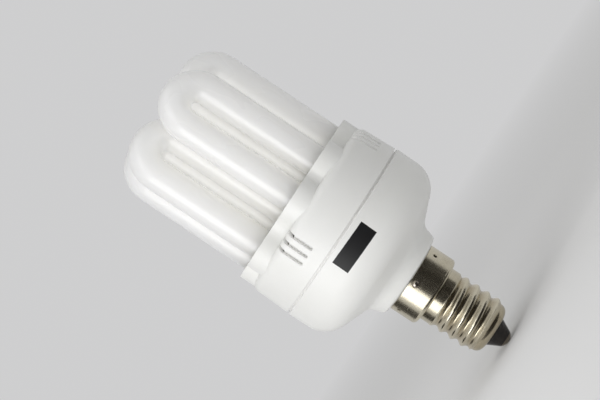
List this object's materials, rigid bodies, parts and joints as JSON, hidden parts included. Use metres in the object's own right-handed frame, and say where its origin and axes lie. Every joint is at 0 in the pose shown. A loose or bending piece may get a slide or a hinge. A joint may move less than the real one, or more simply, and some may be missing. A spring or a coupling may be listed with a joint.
{
  "type": "u shaped fluorescent bulb",
  "caption": "Compact fluorescent lamp: U-bent milky glass tubes in a lobed collar on a white plastic ballast housing, with a small screw cap for a lamp holder.",
  "frame": {"origin": "tip of the centre contact, on the lamp's axis", "axes": "+Z along the lamp's axis from the cap to the tubes' bends; +X along the planes of the U tubes; +Y completes the right-handed frame"},
  "size_m": [0.0448, 0.0448, 0.0961],
  "materials": {
    "milky_glass": "gloss, phosphor coated inside",
    "white_plastic": "satin with a faint moulded texture",
    "cement": "matte",
    "nickel": "nickel plate, polished and slightly warm",
    "black_glass": "gloss black",
    "contact_metal": "worn nickel plate",
    "solder": "dull grey",
    "tinned_wire": "tinned",
    "board_laminate": "resin bonded paper",
    "black_epoxy": "moulded epoxy",
    "can_sleeve": "shrunk sleeve",
    "film_dip": "dipped lacquer",
    "resistor_lacquer": "lacquer",
    "ferrite": "ground, dark grey",
    "bobbin_plastic": "moulded",
    "copper_winding": "enamelled copper"
  },
  "bodies": {
    "root": {"glass_tube": "milky_glass", "electrode_leads": "tinned_wire", "tube_cement": "cement", "tube_cover": "white_plastic", "ballast_housing": "white_plastic", "cap_shell": "nickel", "cap_insulator": "black_glass", "centre_contact": "contact_metal", "side_solder": "solder", "neutral_lead": "tinned_wire", "circuit_board": "board_laminate", "fuse_resistor": "resistor_lacquer", "smoothing_capacitor": "can_sleeve", "choke_core": "ferrite", "choke_bobbin": "bobbin_plastic", "choke_winding": "copper_winding", "toroid_core": "ferrite", "toroid_coils": "copper_winding", "resonance_capacitor": "film_dip", "blocking_capacitor": "film_dip", "transistor_one": "black_epoxy", "transistor_two": "black_epoxy", "rectifier_diodes": "black_epoxy", "resistors": "resistor_lacquer", "trigger_diac": "resistor_lacquer"}
  },
  "joints": []
}
